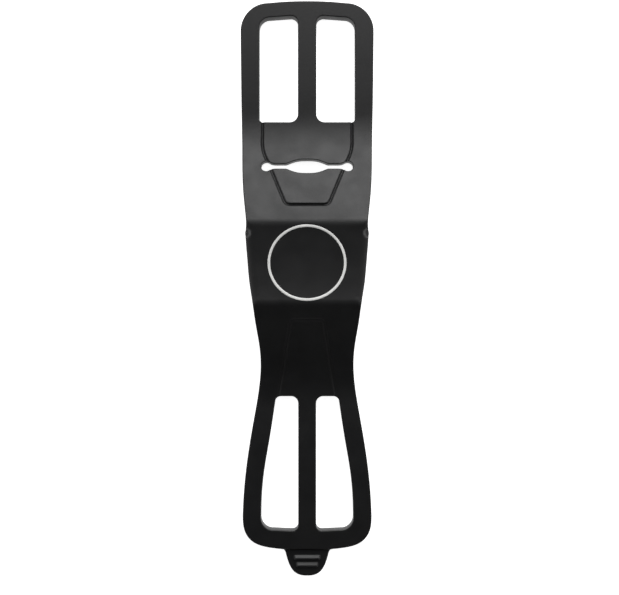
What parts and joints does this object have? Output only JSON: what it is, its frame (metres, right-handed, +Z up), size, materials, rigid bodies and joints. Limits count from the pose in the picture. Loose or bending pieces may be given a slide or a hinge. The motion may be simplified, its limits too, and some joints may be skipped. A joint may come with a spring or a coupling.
{
  "type": "phone handlebar mount",
  "caption": "Stretch silicone strap that wraps round a handlebar and hooks over a phone's corners, with a saddle under its pad, a slot, window loops and a pull tab.",
  "frame": {"origin": "middle of the outline, on the surface that the mount lies on", "axes": "+Y from the pull tab to the slotted end, +Z up out of the pad, +X across to the right when +Y points away"},
  "size_m": [0.0436, 0.19, 0.0155],
  "materials": {
    "black_silicone": "satin moulded silicone",
    "white_print": "matte white print"
  },
  "bodies": {
    "pad": {"saddle_pad": "black_silicone", "badge_ring": "white_print"},
    "upper_slope": {"upper_strap": "black_silicone", "upper_crease_web": "black_silicone"},
    "upper_frame": {"upper_yoke": "black_silicone", "upper_centre_bar": "black_silicone", "slot_band_left": "black_silicone", "slot_band_right": "black_silicone"},
    "lower_slope": {"lower_strap": "black_silicone", "lower_crease_web": "black_silicone"},
    "lower_frame": {"lower_yoke": "black_silicone", "lower_centre_bar": "black_silicone", "lower_waist_web": "black_silicone"},
    "tab": {"pull_tab": "black_silicone", "tab_web": "black_silicone"},
    "upper_left": {"upper_left_loop": "black_silicone", "upper_left_rail_web": "black_silicone", "upper_left_end_web": "black_silicone"},
    "upper_right": {"upper_right_loop": "black_silicone", "upper_right_rail_web": "black_silicone", "upper_right_end_web": "black_silicone"},
    "lower_left": {"lower_left_loop": "black_silicone", "lower_left_rail_web": "black_silicone", "lower_left_end_web": "black_silicone"},
    "lower_right": {"lower_right_loop": "black_silicone", "lower_right_rail_web": "black_silicone", "lower_right_end_web": "black_silicone"}
  },
  "joints": [
    {"name": "upper_strap_fold", "type": "hinge", "parent": "pad", "child": "upper_slope", "pos_m": [0, 0.02285, 0.01273], "axis": [-1, 0, 0], "range_deg": [-50, 65], "stiffness_Nm_per_rad": 0.08, "deforming": ["upper_crease_web"]},
    {"name": "slot_fold", "type": "hinge", "parent": "upper_slope", "child": "upper_frame", "pos_m": [0, 0.0392, 0.00625], "axis": [-1, 0, 0], "range_deg": [-35, 25], "stiffness_Nm_per_rad": 0.05, "deforming": ["slot_band_left", "slot_band_right"]},
    {"name": "lower_strap_fold", "type": "hinge", "parent": "pad", "child": "lower_slope", "pos_m": [0, -0.00715, 0.01254], "axis": [1, 0, 0], "range_deg": [-50, 62], "stiffness_Nm_per_rad": 0.08, "deforming": ["lower_crease_web"]},
    {"name": "waist_fold", "type": "hinge", "parent": "lower_slope", "child": "lower_frame", "pos_m": [0, -0.0254, 0.00418], "axis": [1, 0, 0], "range_deg": [-45, 45], "stiffness_Nm_per_rad": 0.06, "deforming": ["lower_waist_web"]},
    {"name": "upper_right_loop_fold", "type": "hinge", "parent": "upper_frame", "child": "upper_right", "pos_m": [0.01295, 0.07483, 0.00175], "axis": [0.3238, -0.9461, 0], "range_deg": [-30, 105], "stiffness_Nm_per_rad": 0.02, "deforming": ["upper_right_rail_web", "upper_right_end_web"]},
    {"name": "upper_left_loop_fold", "type": "hinge", "parent": "upper_frame", "child": "upper_left", "pos_m": [-0.01295, 0.07483, 0.00175], "axis": [0.3238, 0.9461, 0], "range_deg": [-30, 105], "stiffness_Nm_per_rad": 0.02, "deforming": ["upper_left_rail_web", "upper_left_end_web"]},
    {"name": "lower_right_loop_fold", "type": "hinge", "parent": "lower_frame", "child": "lower_right", "pos_m": [0.0116, -0.06057, 0.00175], "axis": [-0.0884, -0.9961, 0], "range_deg": [-30, 105], "stiffness_Nm_per_rad": 0.02, "deforming": ["lower_right_rail_web", "lower_right_end_web"]},
    {"name": "lower_left_loop_fold", "type": "hinge", "parent": "lower_frame", "child": "lower_left", "pos_m": [-0.0116, -0.06057, 0.00175], "axis": [-0.0884, 0.9961, 0], "range_deg": [-30, 105], "stiffness_Nm_per_rad": 0.02, "deforming": ["lower_left_rail_web", "lower_left_end_web"]},
    {"name": "pull_tab_bend", "type": "hinge", "parent": "lower_frame", "child": "tab", "pos_m": [0, -0.0875, 0.00125], "axis": [-1, 0, 0], "range_deg": [-60, 60], "stiffness_Nm_per_rad": 0.01, "deforming": ["tab_web"]}
  ]
}
